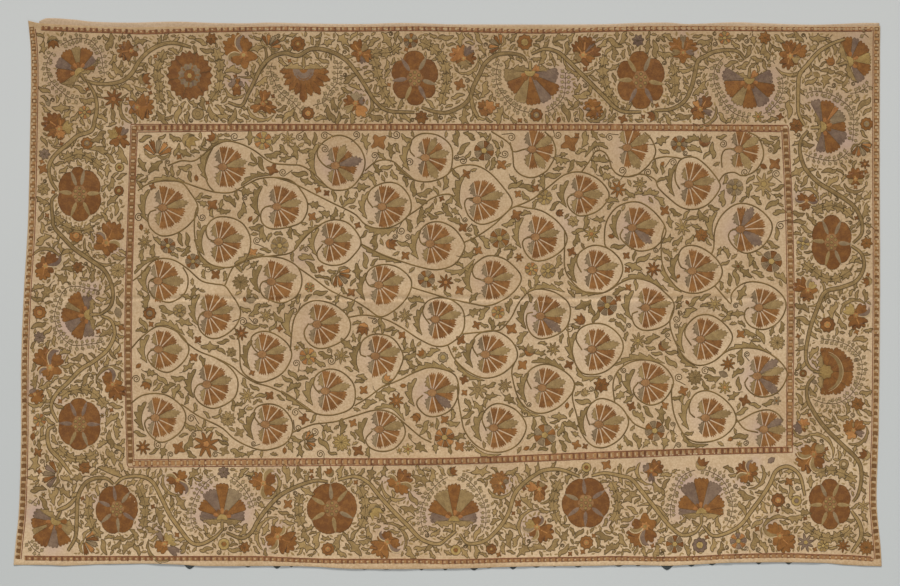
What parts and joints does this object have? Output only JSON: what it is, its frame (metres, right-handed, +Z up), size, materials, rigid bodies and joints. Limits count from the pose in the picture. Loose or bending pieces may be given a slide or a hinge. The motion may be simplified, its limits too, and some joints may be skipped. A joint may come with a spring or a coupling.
{
  "type": "embroidered bed cover",
  "caption": "Wide cotton bed cover laid flat, its upper face worked all over with silk palmettes, vines and flower borders.",
  "frame": {"origin": "under the middle of the cover, on the surface that it lies on", "axes": "+X along the cover's length, +Y towards its heading strip, +Z up out of the worked face"},
  "size_m": [2.6039, 1.6563, 0.0086],
  "materials": {
    "ground_cloth": "cream cotton, plain weave, yellowed and soft",
    "heading_cloth": "undyed cotton, plain weave",
    "lining_cloth": "dark grey cotton",
    "silk_rust": "floss silk, laid and couched, soft sheen",
    "silk_ochre": "floss silk, laid and couched, soft sheen",
    "silk_olive": "floss silk, laid and couched, soft sheen",
    "silk_grey": "floss silk, faded mauve grey",
    "silk_dark": "twisted silk, chain stitch"
  },
  "bodies": {
    "root": {"cover": "ground_cloth", "heading_strip": "heading_cloth", "lining_strip": "lining_cloth"}
  },
  "joints": []
}
